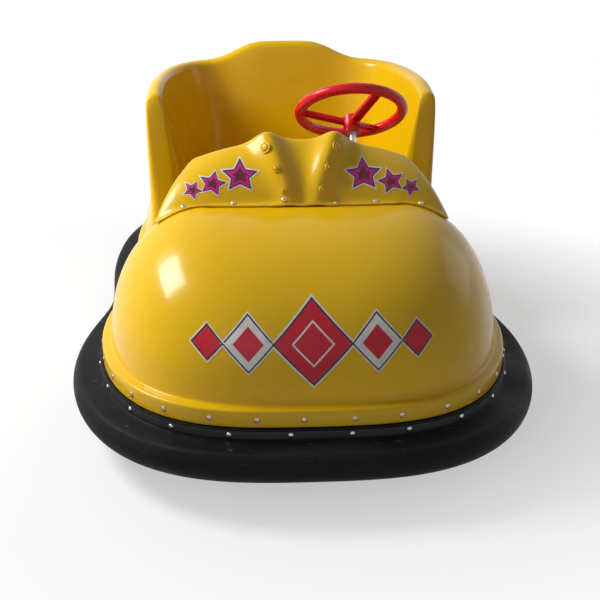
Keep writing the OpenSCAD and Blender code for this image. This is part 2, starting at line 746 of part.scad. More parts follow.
module axle_clamps() {
    top = tube_z - seat_gap;
    low = rear_d / 2 - axle_d / 2 - 12;
    color(steel) for (x = [-rail_x, rail_x]) difference() {
        translate([x - 20, rear_y - 35, low]) cube([40, 70, top - low]);
        translate([x - 21, rear_y, rear_d / 2]) rotate([0, 90, 0])
            cylinder(d = axle_d + 2 * seat_gap, h = 42, $fn = 48);
    }
}

// Steering wheel: a round grip on three channel spokes that drop to the hub
spoke_angles = [180, 55, -63];
module spoke() {
    grip_r = (wheel_d - grip_d) / 2;
    drop = hub_dish - 6;
    len = norm([grip_r, drop]);
    translate([0, 0, -drop]) rotate([0, -atan2(drop, grip_r), 0]) difference() {
        translate([hub_d / 4, -spoke_w / 2, -6]) cube([len - hub_d / 4 - 4, spoke_w, 12]);
        translate([hub_d / 2 + 6, -spoke_w / 2 + 4, -8]) cube([len - hub_d / 2 - 18, spoke_w - 8, 10]);
    }
}

module steering_wheel() {
    color(red) on_shaft(0) {
        rotate_extrude($fn = 96) translate([(wheel_d - grip_d) / 2, 0]) circle(d = grip_d, $fn = 32);
        for (a = spoke_angles) rotate([0, 0, a]) spoke();
        translate([0, 0, hub_low]) cylinder(d = hub_d, h = hub_len, $fn = 48);
    }
}

module steering_shaft() {
    color(bright) on_shaft(shaft_low) cylinder(d = shaft_d, h = shaft_len - seat_gap, $fn = 48);
}

module sprocket(teeth, bore) {
    r = pitch_r(teeth);
    tip = chain_pitch * 0.3;
    linear_extrude(sprocket_t) difference() {
        polygon([for (i = [0:teeth - 1], q = [[-0.32, -tip], [-0.14, tip], [0.14, tip], [0.32, -tip]])
            (r + q[1]) * [cos((i + q[0]) * 360 / teeth), sin((i + q[0]) * 360 / teeth)]]);
        circle(d = bore, $fn = 48);
    }
}

module shaft_sprocket() {
    color(steel) on_shaft(shaft_low + 12) sprocket(shaft_teeth, shaft_d + 2 * seat_gap);
}

module at_drive(z) {
    translate([0, drive_y, z]) children();
}

module head_plate() {
    color(steel) at_drive(head_z) cylinder(d = head_d, h = head_t, $fn = 72);
    color(bright) at_drive(head_z + head_t) cylinder(d = spindle_d, h = head_t + 34, $fn = 64);
}

module steer_sprocket() {
    color(steel) at_drive(bearing_z + head_t + 8) sprocket(sprocket_teeth, spindle_d + 2 * seat_gap);
}

// The fork: two plates down to the wheel's axle and a bridge under the head plate
module fork() {
    axle_z = drive_d / 2;
    top = head_z - seat_gap;
    color(steel) difference() {
        union() {
            for (s = [-1, 1]) translate([s * (wheel_side + fork_t / 2), drive_y, 0]) {
                translate([-fork_t / 2, -fork_w / 2, axle_z]) cube([fork_t, fork_w, top - axle_z]);
                translate([-fork_t / 2, 0, axle_z]) rotate([0, 90, 0])
                    cylinder(d = fork_w, h = fork_t, $fn = 64);
            }
            translate([-wheel_side - fork_t, drive_y - fork_w / 2, top - 12])
                cube([2 * (wheel_side + fork_t), fork_w, 12]);
        }
        translate([-wheel_side - fork_t - 1, drive_y, axle_z]) rotate([0, 90, 0])
            cylinder(d = axle_d + 2 * seat_gap, h = 2 * (wheel_side + fork_t) + 2, $fn = 48);
    }
}

module drive_axle() {
    reach = wheel_side + fork_t + 14;
    color(bright) at_drive(drive_d / 2) {
        rotate([0, 90, 0]) translate([0, 0, -wheel_side - fork_t])
            cylinder(d = axle_d, h = wheel_side + fork_t + reach, $fn = 48);
        translate([wheel_side + fork_t + seat_gap, 0, 0]) rotate([0, 90, 0])
            cylinder(d = axle_d + 12, h = 10, $fn = 48);
    }
}

case_x = -wheel_side - fork_t - seat_gap - case_t;
module gear_case() {
    r_low = 38;
    r_top = 46;
    color(steel) at_drive(drive_d / 2) translate([case_x, 0, 0]) rotate([90, 0, 90])
        linear_extrude(case_t) {
            circle(r_low, $fn = 64);
            translate([0, motor_up]) circle(r_top, $fn = 64);
            polygon([[-r_low, 0], [r_low, 0], [r_top, motor_up], [-r_top, motor_up]]);
        }
}

module motor() {
    slots = 18;
    end = 18;
    color(black) at_drive(drive_d / 2 + motor_up) translate([case_x - seat_gap - motor_len, 0, 0])
        rotate([0, 90, 0]) {
            difference() {
                cylinder(d = motor_d, h = motor_len, $fn = 72);
                for (i = [0:slots - 1]) rotate([0, 0, i * 360 / slots])
                    translate([motor_d / 2 - 3, -2, end]) cube([4, 4, motor_len - 2 * end]);
            }
            translate([0, 0, -6]) cylinder(d = motor_d * 0.7, h = 7, $fn = 72);
        }
}

// Wheels: a solid rubber tyre pressed round a rim whose hub turns on its axle
module tyre(d, w, rim_d) {
    round = w * 0.16;
    rotate([0, 90, 0]) rotate_extrude($fn = 96) translate([0, -w / 2]) polygon([[rim_d / 2 + seat_gap, 0],
        [d / 2 - round, 0], [d / 2 - round * 0.3, round * 0.3], [d / 2, round], [d / 2, w - round],
        [d / 2 - round * 0.3, w - round * 0.3], [d / 2 - round, w], [rim_d / 2 + seat_gap, w]]);
}

module rim(w, rim_d, bore) {
    hub_r = bore / 2 + 12;
    bed_r = rim_d / 2 - 7;
    low = (w - 8) / 2;
    high = (w + 8) / 2;
    rotate([0, 90, 0]) rotate_extrude($fn = 96) translate([0, -w / 2]) polygon([[bore / 2, 0], [hub_r, 0],
        [hub_r, low], [bed_r, low], [bed_r, 0], [rim_d / 2, 0], [rim_d / 2, w],
        [bed_r, w], [bed_r, high], [hub_r, high], [hub_r, w], [bore / 2, w]]);
}

module drive_tyre() {
    color(rubber) at_drive(drive_d / 2) tyre(drive_d, drive_w, drive_rim_d);
}

module drive_rim() {
    color(bright) at_drive(drive_d / 2) rim(drive_w, drive_rim_d, axle_d + 2 * run_gap);
}

module at_rear(side) {
    translate([side * rear_x, rear_y, rear_d / 2]) children();
}

module rear_tyre_left() {
    color(rubber) at_rear(1) tyre(rear_d, rear_w, rear_rim_d);
}

module rear_rim_left() {
    color(bright) at_rear(1) rim(rear_w, rear_rim_d, axle_d + 2 * run_gap);
}

module rear_tyre_right() {
    color(rubber) at_rear(-1) tyre(rear_d, rear_w, rear_rim_d);
}

module rear_rim_right() {
    color(bright) at_rear(-1) rim(rear_w, rear_rim_d, axle_d + 2 * run_gap);
}

frame_rails();
cross_members();
perimeter_channel();
bumper_ring();
clamp_band();
floor_sheet();
nose_panel();
cowl();
brow_studs();
rear_shell();
seat_bench();
battery_block();
battery_tray();
dash_panel();
toe_board();
column_tube();
pedal();
pedal_bracket();
bearing_plate();
bearing_posts();
rear_axle();
axle_clamps();
steering_wheel();
steering_shaft();
shaft_sprocket();
head_plate();
fork();
gear_case();
motor();
steer_sprocket();
drive_axle();
drive_tyre();
drive_rim();
rear_tyre_left();
rear_rim_left();
rear_tyre_right();
rear_rim_right();
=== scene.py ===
import math

import bmesh
import bpy
from mathutils import Matrix, Vector


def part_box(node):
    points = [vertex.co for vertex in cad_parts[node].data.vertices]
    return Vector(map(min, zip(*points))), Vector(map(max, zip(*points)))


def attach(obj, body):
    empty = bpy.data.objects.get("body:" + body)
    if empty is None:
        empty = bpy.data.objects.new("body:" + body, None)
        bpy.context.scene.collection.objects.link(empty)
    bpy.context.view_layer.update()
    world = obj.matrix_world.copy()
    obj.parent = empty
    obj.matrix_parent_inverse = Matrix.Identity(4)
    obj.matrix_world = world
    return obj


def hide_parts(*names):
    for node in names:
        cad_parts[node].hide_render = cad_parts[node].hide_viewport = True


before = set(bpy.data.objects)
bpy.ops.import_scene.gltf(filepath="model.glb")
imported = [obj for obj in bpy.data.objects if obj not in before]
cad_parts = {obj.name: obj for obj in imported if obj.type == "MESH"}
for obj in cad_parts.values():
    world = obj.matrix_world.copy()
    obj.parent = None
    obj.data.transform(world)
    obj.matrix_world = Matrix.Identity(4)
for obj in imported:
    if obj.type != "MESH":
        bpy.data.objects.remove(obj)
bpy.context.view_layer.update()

# Chassis: rails, cross members, perimeter channel, plates, posts, clamps and fork.
# Mild steel tube, strip and plate, welded together on a flat table and sprayed with satin black paint.
# Road dust dulls it, and the paint is chipped down to rusty steel in small spots.


def new_material(name, roughness, metallic=0.0):
    """A material with one Principled shader, and its node tree."""
    material = bpy.data.materials.new(name)
    material.use_nodes = True
    shader = material.node_tree.nodes["Principled BSDF"]
    shader.inputs["Roughness"].default_value = roughness
    shader.inputs["Metallic"].default_value = metallic
    return material, material.node_tree, shader


def noise(tree, scale, detail=3.0, stretch=(1, 1, 1)):
    """Noise on the piece's own coordinates: scale is about the number of spots in a metre."""
    place = tree.nodes.new("ShaderNodeTexCoord")
    mapping = tree.nodes.new("ShaderNodeMapping")
    mapping.inputs["Scale"].default_value = stretch
    spots = tree.nodes.new("ShaderNodeTexNoise")
    spots.inputs["Scale"].default_value = scale
    spots.inputs["Detail"].default_value = detail
    tree.links.new(place.outputs["Object"], mapping.inputs["Vector"])
    tree.links.new(mapping.outputs["Vector"], spots.inputs["Vector"])
    return spots.outputs["Fac"]


def spread(tree, value, low, high, out_low=0.0, out_high=1.0):
    """The part of a value between low and high, stretched over a new range."""
    node = tree.nodes.new("ShaderNodeMapRange")
    node.inputs["From Min"].default_value = low
    node.inputs["From Max"].default_value = high
    node.inputs["To Min"].default_value = out_low
    node.inputs["To Max"].default_value = out_high
    tree.links.new(value, node.inputs["Value"])
    return node.outputs["Result"]


def tint(tree, share, low, high):
    """A mix of two colours, each a colour or another node's output."""
    node = tree.nodes.new("ShaderNodeMix")
    node.data_type = "RGBA"
    tree.links.new(share, node.inputs["Factor"])
    for socket, colour in ((node.inputs[6], low), (node.inputs[7], high)):
        if isinstance(colour, tuple):
            socket.default_value = (*colour, 1.0)
        else:
            tree.links.new(colour, socket)
    return node.outputs[2]


def relief(tree, shader, heights):
    """Bump on the shader from (height output, depth in metres) pairs, one over the other."""
    previous = None
    for height, depth in heights:
        bump = tree.nodes.new("ShaderNodeBump")
        bump.inputs["Strength"].default_value = 1.0
        bump.inputs["Distance"].default_value = depth
        tree.links.new(height, bump.inputs["Height"])
        if previous:
            tree.links.new(previous, bump.inputs["Normal"])
        previous = bump.outputs["Normal"]
    tree.links.new(previous, shader.inputs["Normal"])


def dress(names, material):
    """Gives CAD nodes a finish through their material slots."""
    for name in names:
        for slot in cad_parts[name].material_slots:
            slot.material = material


def chassis_paint():
    clean, dusty, rust = (0.022, 0.023, 0.026), (0.075, 0.068, 0.058), (0.17, 0.075, 0.035)
    material, tree, shader = new_material("chassis_paint", 0.5)
    dust = spread(tree, noise(tree, 7, 6), 0.45, 0.75)
    painted = tint(tree, dust, clean, dusty)
    chips = spread(tree, noise(tree, 60, 5), 0.7, 0.73)
    tree.links.new(tint(tree, chips, painted, rust), shader.inputs["Base Color"])
    tree.links.new(spread(tree, dust, 0, 1, 0.38, 0.7), shader.inputs["Roughness"])
    relief(tree, shader, [(noise(tree, 260, 2), 0.0002), (chips, 0.0003)])
    return material


dress(["frame_rails", "cross_members", "perimeter_channel", "bearing_plate", "bearing_posts", "axle_clamps",
       "battery_tray", "pedal_bracket", "fork", "column_tube"], chassis_paint())

# Floor sheet: 6 mm steel tread plate, sheared to the frame's outline and laid on the rails.
# Its raised lozenges stand in rows that turn by a right angle, and shoes have polished their tops.
lozenge_long, lozenge_wide, lozenge_tall, lozenge_taper = 0.024, 0.008, 0.0016, 0.6
tread_pitch, tread_edge = 0.03, 0.022
floor_low, floor_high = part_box("floor_sheet")


def select_none():
    if bpy.context.object and bpy.context.object.mode != "OBJECT":
        bpy.ops.object.mode_set(mode="OBJECT")
    bpy.ops.object.select_all(action="DESELECT")


def select_only(piece):
    select_none()
    piece.select_set(True)
    bpy.context.view_layer.objects.active = piece


def added(name):
    """The primitive that was just added, under its own name."""
    piece = bpy.context.object
    piece.name = name
    piece.data.name = name
    return piece


def settle(piece, *materials):
    """Puts the piece's place into its mesh and gives it its materials."""
    select_only(piece)
    bpy.ops.object.transform_apply(location=True, rotation=True, scale=True)
    piece.data.materials.clear()
    for material in materials:
        piece.data.materials.append(material)
    return piece


def copies(model, places, name):
    """The model at each place, joined to one mesh; the model itself goes."""
    mesh = bmesh.new()
    for place in places:
        one = model.data.copy()
        one.transform(place)
        mesh.from_mesh(one)
        bpy.data.meshes.remove(one)
    result = bpy.data.objects.new(name, bpy.data.meshes.new(name))
    mesh.to_mesh(result.data)
    mesh.free()
    bpy.context.collection.objects.link(result)
    bpy.data.objects.remove(model)
    return result


def tread_plate():
    bare, dirty = (0.42, 0.42, 0.43), (0.16, 0.15, 0.14)
    material, tree, shader = new_material("tread_plate", 0.35, 1.0)
    dirt = spread(tree, noise(tree, 9, 6), 0.4, 0.7)
    tree.links.new(tint(tree, dirt, bare, dirty), shader.inputs["Base Color"])
    tree.links.new(spread(tree, dirt, 0, 1, 0.32, 0.65), shader.inputs["Roughness"])
    relief(tree, shader, [(noise(tree, 500, 2, (1, 8, 1)), 0.0001)])
    return material


def half_tread(y):
    """How far the lozenges reach to each side, short of the shell's wall and the sheet's own edge."""
    over_floor = Vector((0, y, floor_high.z + 0.03))
    beside_edge = Vector((1, y, (floor_low.z + floor_high.z) / 2))
    at_wall, wall, _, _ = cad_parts["rear_shell"].ray_cast(over_floor, Vector((1, 0, 0)))
    _, edge, _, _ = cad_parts["floor_sheet"].ray_cast(beside_edge, Vector((-1, 0, 0)))
    return (min(wall.x, edge.x) if at_wall else edge.x) - tread_edge


floor_finish = tread_plate()
dress(["floor_sheet"], floor_finish)
select_none()
bpy.ops.mesh.primitive_circle_add(vertices=6, radius=0.5, fill_type="NGON")
lozenge = added("lozenge")
bpy.ops.object.mode_set(mode="EDIT")
bpy.ops.mesh.extrude_region_move(TRANSFORM_OT_translate={"value": (0, 0, 1)})
bpy.ops.transform.resize(value=(lozenge_taper, lozenge_taper, 1))
bpy.ops.object.mode_set(mode="OBJECT")
lozenge.data.transform(Matrix.Diagonal((lozenge_long, lozenge_wide, lozenge_tall, 1)))
lozenge_places = []
row = 0
y = floor_low.y + tread_edge
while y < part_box("seat_bench")[0].y - tread_edge:
    count = int(2 * half_tread(y) / tread_pitch)
    for k in range(count):
        x = (k - (count - 1) / 2) * tread_pitch
        turn = Matrix.Rotation(math.radians(45 if (row + k) % 2 else -45), 4, "Z")
        lozenge_places.append(Matrix.Translation((x, y, floor_high.z)) @ turn)
    y += tread_pitch
    row += 1
lozenges = settle(copies(lozenge, lozenge_places, "tread_lozenges"), floor_finish)
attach(lozenges, "body")

# Bumper ring: one endless extrusion of solid black rubber, pulled round the channel and held by its lip.
# Dust greys its upper side, and knocks have scuffed its widest line.


def moulded_copy(node, name, levels, cuts=(), crease=None):
    """A moulding's own mesh: the CAD solid's triangles paired to quads, cut for support and rounded.
    A crease is the least angle, in degrees, of an edge that stays firm, and how firm it stays."""
    piece = bpy.data.objects.new(name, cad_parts[node].data.copy())
    piece.data.name = name
    bpy.context.collection.objects.link(piece)
    select_only(piece)
    bpy.ops.object.mode_set(mode="EDIT")
    bpy.ops.mesh.select_all(action="SELECT")
    bpy.ops.mesh.customdata_custom_splitnormals_clear()
    bpy.ops.mesh.remove_doubles(threshold=0.0001)
    bpy.ops.mesh.tris_convert_to_quads(face_threshold=math.radians(40), shape_threshold=math.radians(70))
    for place, normal in cuts:
        bpy.ops.mesh.select_all(action="SELECT")
        bpy.ops.mesh.bisect(plane_co=place, plane_no=normal)
    if crease:
        least_angle, firmness = crease
        bpy.ops.mesh.select_all(action="DESELECT")
        bpy.ops.mesh.edges_select_sharp(sharpness=math.radians(least_angle))
        bpy.ops.transform.edge_crease(value=firmness)
    bpy.ops.object.mode_set(mode="OBJECT")
    if levels:
        rounding = piece.modifiers.new("Rounding", "SUBSURF")
        rounding.levels = rounding.render_levels = levels
        bpy.ops.object.modifier_apply(modifier="Rounding")
    bpy.ops.object.shade_smooth()
    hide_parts(node)
    return piece


def ring_rubber():
    black, dusty, scuffed = (0.004, 0.0043, 0.005), (0.012, 0.0125, 0.0135), (0.04, 0.04, 0.042)
    material, tree, shader = new_material("ring_rubber", 0.62)
    shader.inputs["Specular IOR Level"].default_value = 0.08
    dust = spread(tree, noise(tree, 5, 8), 0.42, 0.72)
    scuffs = spread(tree, noise(tree, 38, 4, (1, 1, 6)), 0.66, 0.72)
    tree.links.new(tint(tree, scuffs, tint(tree, dust, black, dusty), scuffed), shader.inputs["Base Color"])
    tree.links.new(spread(tree, dust, 0, 1, 0.5, 0.75), shader.inputs["Roughness"])
    relief(tree, shader, [(noise(tree, 14, 2), 0.003), (noise(tree, 420, 3), 0.0002), (scuffs, 0.0002)])
    return material


ring = settle(moulded_copy("bumper_ring", "bumper_ring_rubber", 2, crease=(50, 0.8)), ring_rubber())
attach(ring, "body")

# Clamp band: rubber-faced strip over the ring's lip, pinned right through to the channel.
# Its domed pins are zinc plated and stand a hand's width apart.
pin_r, pin_tall, pin_pitch, first_pin = 0.0065, 0.0042, 0.14, 0.087
band_low, band_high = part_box("clamp_band")


def mottled(tree, shader, scale, detail, low_colour, high_colour, low=0.4, high=0.7):
    """Colours the shader with two colours that run into each other in soft spots."""
    share = spread(tree, noise(tree, scale, detail), low, high)
    tree.links.new(tint(tree, share, low_colour, high_colour), shader.inputs["Base Color"])


def band_rubber():
    material, tree, shader = new_material("band_rubber", 0.5)
    mottled(tree, shader, 12, 6, (0.008, 0.008, 0.01), (0.025, 0.025, 0.027), 0.4, 0.75)
    relief(tree, shader, [(noise(tree, 300, 3), 0.0002)])
    return material


def zinc():
    dull, bright = (0.3, 0.3, 0.31), (0.55, 0.54, 0.53)
    material, tree, shader = new_material("zinc_plate", 0.3, 1.0)
    mottle = noise(tree, 90, 4)
    tree.links.new(tint(tree, spread(tree, mottle, 0.35, 0.65), dull, bright), shader.inputs["Base Color"])
    tree.links.new(spread(tree, mottle, 0.3, 0.7, 0.22, 0.42), shader.inputs["Roughness"])
    return material


def facing(point, normal, spin=0.0):
    """A place on a surface: local Z points away from it."""
    turn = normal.normalized().to_track_quat("Z", "Y").to_matrix().to_4x4()
    return Matrix.Translation(point) @ turn @ Matrix.Rotation(spin, 4, "Z")


def walk_round(pieces, height, spacing, start):
    """Evenly spaced places round the outside of some pieces at one height, from a start beside the nose."""
    hits = []
    rays = 720
    for k in range(rays):
        angle = 2 * math.pi * k / rays
        way = Vector((math.sin(angle), -math.cos(angle), 0))
        best = None
        for piece in pieces:
            ok, point, normal, _ = piece.ray_cast(2 * way + Vector((0, 0, height)), -way)
            if ok and (best is None or point.length > best[0].length):
                best = (point, normal)
        if best:
            hits.append(best)
    steps = [(hits[(k + 1) % len(hits)][0] - hits[k][0]).length for k in range(len(hits))]
    total = sum(steps)
    count = 2 * round(total / spacing / 2)
    places, travelled, wanted = [], 0.0, start
    for (point, normal), step in zip(hits, steps):
        while travelled + step >= wanted and len(places) < count:
            places.append(facing(point, normal))
            wanted += total / count
        travelled += step
    return places


def domed_head(name, radius, height, hole=0.0):
    """A pin or rivet head on the XY plane: a disc drawn up to a dome, and a hole as deep as asked for."""
    select_none()
    bpy.ops.mesh.primitive_circle_add(vertices=16, radius=radius, fill_type="NGON")
    head = added(name)
    bpy.ops.object.mode_set(mode="EDIT")
    bpy.ops.mesh.select_all(action="SELECT")
    for rise, shrink in ((0.35, 0.97), (0.3, 0.86), (0.25, 0.7), (0.1, 0.6 if hole else 0.45)):
        bpy.ops.mesh.extrude_region_move(TRANSFORM_OT_translate={"value": (0, 0, rise * height)})
        bpy.ops.transform.resize(value=(shrink, shrink, 1))
    if hole:
        bpy.ops.mesh.inset(thickness=0.0004)
        bpy.ops.mesh.extrude_region_move(TRANSFORM_OT_translate={"value": (0, 0, -hole)})
    bpy.ops.object.mode_set(mode="OBJECT")
    select_only(head)
    bpy.ops.object.shade_smooth()
    return head


dress(["clamp_band"], band_rubber())
zinc_plate = zinc()
pin_places = walk_round([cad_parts["clamp_band"]], (band_low.z + band_high.z) / 2, pin_pitch, first_pin)
pins = settle(copies(domed_head("band_pin", pin_r, pin_tall), pin_places, "band_pins"), zinc_plate)
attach(pins, "body")

# Nose panel and rear shell: hand-laid glass fibre in a yellow gelcoat, each out of one mould.
# The gelcoat is glossy, with a faint orange peel and a few darker specks.
flange_tall, cut_over_foot, cut_under_top = 0.043, 0.006, 0.012
ring_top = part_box("nose_panel")[0].z
flange_top = ring_top + flange_tall


def gelcoat():
    deep, light, speck = (0.76, 0.45, 0.002), (0.8, 0.48, 0.003), (0.62, 0.35, 0.02)
    material, tree, shader = new_material("yellow_gelcoat", 0.3)
    shader.inputs["Coat Weight"].default_value = 0.12
    shader.inputs["Coat Roughness"].default_value = 0.05
    shader.inputs["Specular IOR Level"].default_value = 0.15
    cloud = spread(tree, noise(tree, 3.5, 5), 0.35, 0.65)
    specks = spread(tree, noise(tree, 150, 3), 0.71, 0.75)
    tree.links.new(tint(tree, specks, tint(tree, cloud, deep, light), speck), shader.inputs["Base Color"])
    tree.links.new(spread(tree, noise(tree, 11, 6), 0.35, 0.7, 0.2, 0.3), shader.inputs["Roughness"])
    relief(tree, shader, [(noise(tree, 4, 1), 0.002), (noise(tree, 230, 2), 0.00006)])
    return material


yellow = gelcoat()
flange_cuts = [((0, 0, ring_top + cut_over_foot), (0, 0, 1)), ((0, 0, flange_top - cut_under_top), (0, 0, 1))]
nose = settle(moulded_copy("nose_panel", "nose_moulding", 2, flange_cuts), yellow)
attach(nose, "body")
shell = settle(moulded_copy("rear_shell", "shell_moulding", 2, flange_cuts), yellow)
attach(shell, "body")

# Flange rivets: alloy pop rivets that hold the mouldings' flange to the steel channel.
# Each has a thin domed head, and a hole where its pin has snapped off.
rivet_r, rivet_tall, rivet_hole = 0.0068, 0.0032, 0.0022
rivet_pitch, first_rivet = 0.115, 0.098
rivet_line = (ring_top + flange_top) / 2 - 0.002


def rivet_alloy():
    material, tree, shader = new_material("rivet_alloy", 0.34, 1.0)
    mottled(tree, shader, 120, 3, (0.28, 0.2, 0.18), (0.5, 0.4, 0.37), 0.3, 0.7)
    return material


rivet_finish = rivet_alloy()
rivets = settle(copies(domed_head("flange_rivet", rivet_r, rivet_tall, rivet_hole),
                       walk_round([nose, shell], rivet_line, rivet_pitch, first_rivet), "flange_rivets"),
                rivet_finish)
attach(rivets, "body")

# Cowl: the raised moulding in front of the driver, with two brow ridges and a rolled top edge.
# It is laid up like the nose and riveted to it along the crest. Its round studs are moulded bosses.
cowl = settle(moulded_copy("cowl", "cowl_moulding", 2), yellow)
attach(cowl, "body")
dress(["brow_studs"], yellow)

# Cowl joint: a bead of yellow filler, smoothed along the cowl's foot with a finger before it set,
# and alloy rivets through the foot's flange. The foot is found by looking at the cowl from all round.
bead_r = 0.003
look_from, look_reach = Vector((0, -0.1, 0)), 1.5
look_top, look_step, look_count = 0.66, 0.002, 150
foot = []
for degrees in range(-104, 105, 2):
    way = Vector((math.sin(math.radians(degrees)), -math.cos(math.radians(degrees)), 0))
    start = look_from + look_reach * way
    last = None
    for k in range(look_count):
        start.z = look_top - look_step * k
        on_cowl, here, _, _ = cowl.ray_cast(start, -way)
        on_nose, there, _, _ = nose.ray_cast(start, -way)
        if on_cowl and (not on_nose or (here - start).length < (there - start).length):
            last = here
    if last:
        foot.append(last)
bead_line = bpy.data.curves.new("cowl_bead", "CURVE")
bead_line.dimensions = "3D"
bead_line.bevel_depth = bead_r
bead_line.bevel_resolution = 2
bead_path = bead_line.splines.new("POLY")
bead_path.points.add(len(foot) - 1)
for point, place in zip(bead_path.points, foot):
    point.co = (*place, 1)
bead = bpy.data.objects.new("cowl_bead", bead_line)
bpy.context.collection.objects.link(bead)
select_only(bead)
bpy.ops.object.convert(target="MESH")
bead = settle(added("cowl_bead"), yellow)
bpy.ops.object.shade_smooth()
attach(bead, "body")

crest_rear_limit, crest_inset = -0.35, 0.007
crest_places = []
for x in (-0.31, -0.18, -0.05, 0.085, 0.19, 0.31):
    edge = min(foot, key=lambda p: abs(p.x - x) + (1 if p.y > crest_rear_limit else 0))
    ok, point, normal, _ = cowl.ray_cast(Vector((x, edge.y + crest_inset, 1)), Vector((0, 0, -1)))
    if ok:
        crest_places.append(facing(point, normal))
crest_rivets = settle(copies(domed_head("crest_rivet", rivet_r, rivet_tall, rivet_hole), crest_places,
                             "crest_rivets"), rivet_finish)
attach(crest_rivets, "body")

# Dash panel: a flat glass-fibre panel, cut from a laid-up sheet, that closes the cowl from behind.
# Plated pan-head screws along its slanting edges hold it to the cowl's rolled rim.
dash_screw_r, dash_screw_tall = 0.005, 0.003
dash_screw_spots = [(side * x, 0.3, z) for side in (-1, 1)
                    for x, z in ((0.335, 0.42), (0.315, 0.49), (0.295, 0.56), (0.27, 0.625), (0.2, 0.645))]


def screw_head(name, radius, height):
    """A pan-head screw on the XY plane, with a cross cut into its dome."""
    head = domed_head(name, radius, height)
    bpy.ops.mesh.primitive_cube_add(size=1)
    first = added("cutter")
    first.data.transform(Matrix.Diagonal((1.1 * radius, 0.22 * radius, height, 1)))
    first.data.transform(Matrix.Translation((0, 0, 1.05 * height)))
    second = bpy.data.objects.new("cutter_2", first.data.copy())
    bpy.context.collection.objects.link(second)
    second.data.transform(Matrix.Rotation(math.radians(90), 4, "Z"))
    for cutter in (first, second):
        select_only(head)
        cross = head.modifiers.new("Cross", "BOOLEAN")
        cross.operation = "DIFFERENCE"
        cross.object = cutter
        bpy.ops.object.modifier_apply(modifier="Cross")
        bpy.data.objects.remove(cutter)
    return head


def seen_from(piece, way, spots):
    """Places on a piece where a look along one direction from each spot meets it, each with its own spin."""
    spin_per_metre = 20
    places = []
    for spot in spots:
        ok, point, normal, _ = piece.ray_cast(Vector(spot), Vector(way))
        if ok:
            places.append(facing(point, normal, spin_per_metre * spot[0]))
    return places


dress(["dash_panel"], yellow)
dash_screws = settle(copies(screw_head("dash_screw", dash_screw_r, dash_screw_tall),
                            seen_from(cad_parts["dash_panel"], (0, -1, 0), dash_screw_spots),
                            "dash_screws"), zinc_plate)
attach(dash_screws, "body")

# Brow closing: a strip of glass-fibre mat, wetted with yellow resin and bonded to the dash panel's front.
# It fills the gap between the panel's straight top and the cowl above it, so that nothing drops in behind.
closing_half, closing_lap, closing_thick, closing_bond = 0.29, 0.012, 0.0025, 0.0012
panel_low, panel_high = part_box("dash_panel")


def panel_front(x, z):
    """The panel's front face at one place, or None beside or above the panel."""
    on_panel, point, _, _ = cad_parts["dash_panel"].ray_cast(Vector((x, -1, z)), Vector((0, 1, 0)))
    return point if on_panel else None


def panel_slope(margin=0.05):
    """The way up the leaning panel, from two looks at its middle, each a margin inside its edge."""
    return (panel_front(0, panel_high.z - margin) - panel_front(0, panel_low.z + margin)).normalized()


def gap_above(x, slope, step=0.0005):
    """The panel's top edge and the underside of the cowl above it, along the panel's own slope."""
    z = panel_high.z
    while not panel_front(x, z):
        z -= step
    edge = panel_front(x, z)
    _, underside, _, _ = cowl.ray_cast(edge, slope)
    return edge, underside


up_panel = panel_slope()
select_none()
bpy.ops.mesh.primitive_grid_add(x_subdivisions=58, y_subdivisions=1, size=2)
closing = added("brow_closing")
for vertex in closing.data.vertices:
    edge, underside = gap_above(vertex.co.x * closing_half, up_panel)
    vertex.co = underside + closing_bond * up_panel if vertex.co.y > 0 else edge - closing_lap * up_panel
wall = closing.modifiers.new("Wall", "SOLIDIFY")
wall.thickness = closing_thick
wall.offset = 1
bpy.ops.object.modifier_apply(modifier="Wall")
settle(closing, yellow)
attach(closing, "body")

# Seat bench: one bent glass-fibre panel with a rounded front edge, dropped into the shell.
# It is laid up in the same yellow gelcoat and screwed down along its ends and its back.
bench_screw_r, bench_screw_tall = 0.006, 0.0032
bench_screw_spots = [(side * 0.3, y, 0.6) for side in (-1, 1) for y in (0.36, 0.5)]
bench_screw_spots += [(x, 0.61, 0.6) for x in (-0.16, 0, 0.16)]
bench = settle(moulded_copy("seat_bench", "bench_moulding", 0), yellow)
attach(bench, "body")
bench_screws = settle(copies(screw_head("bench_screw", bench_screw_r, bench_screw_tall),
                             seen_from(bench, (0, 0, -1), bench_screw_spots), "bench_screws"), zinc_plate)
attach(bench_screws, "body")

# Toe board: galvanised sheet, cut straight and stood leaning between the cross member and the dash panel.
# Zinc spangle shows on it where feet have not scraped it.


def sheet_finish():
    material, tree, shader = new_material("galvanised_sheet", 0.42, 1.0)
    mottled(tree, shader, 45, 2, (0.42, 0.43, 0.44), (0.6, 0.61, 0.62), 0.4, 0.6)
    return material


galvanised = sheet_finish()
dress(["toe_board"], galvanised)

